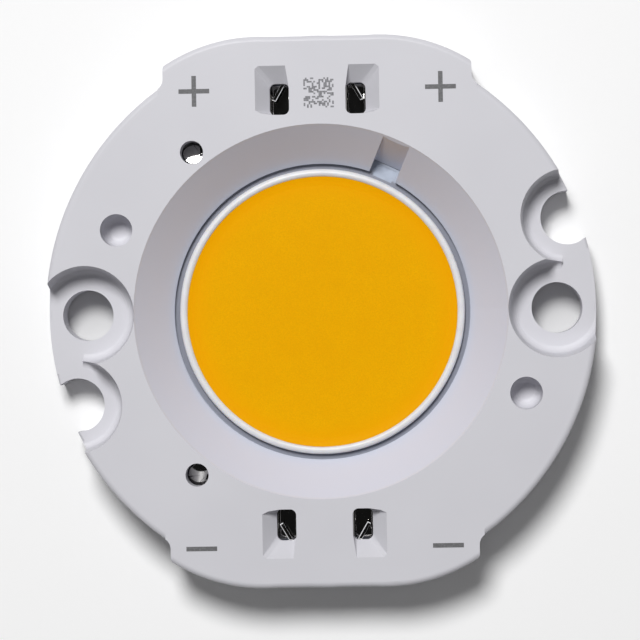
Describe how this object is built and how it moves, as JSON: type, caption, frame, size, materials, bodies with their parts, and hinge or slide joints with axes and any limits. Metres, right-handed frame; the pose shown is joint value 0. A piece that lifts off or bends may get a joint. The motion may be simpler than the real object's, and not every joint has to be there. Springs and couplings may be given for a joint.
{
  "type": "cob led",
  "caption": "Round white chip-on-board light engine: a yellow light-emitting disc in a conical opening, with open screw ears and poke-in wire terminals.",
  "frame": {"origin": "centre of the mounting face, under the middle of the light-emitting disc", "axes": "+Z out of the lit side, +Y towards the positive terminals, +X through the right-hand screw hole"},
  "size_m": [0.0366, 0.0366, 0.0052],
  "materials": {
    "housing_white": "satin moulded",
    "plate_aluminium": "rolled, fine grain",
    "board_laminate": "glass-epoxy laminate",
    "copper": "etched copper foil",
    "mask_white": "white solder mask",
    "tinned_pad": "tinned copper foil",
    "adhesive": "cured silicone",
    "die": "sapphire die",
    "gold_wire": "drawn gold",
    "phosphor": "phosphor-filled silicone",
    "dam_silicone": "white silicone bead",
    "contact_metal": "tin-plated spring bronze",
    "solder": "reflowed solder"
  },
  "bodies": {
    "root": {"housing": "housing_white", "base_plate": "plate_aluminium", "circuit_board": "board_laminate", "positive_track": "copper", "negative_track": "copper", "solder_mask": "mask_white", "temperature_pad": "tinned_pad", "housing_adhesive": "adhesive", "led_dies": "die", "bond_wires": "gold_wire", "phosphor": "phosphor", "dam_ring": "dam_silicone", "positive_contact_left": "contact_metal", "positive_contact_right": "contact_metal", "negative_contact_left": "contact_metal", "negative_contact_right": "contact_metal", "solder_joints": "solder"}
  },
  "joints": []
}
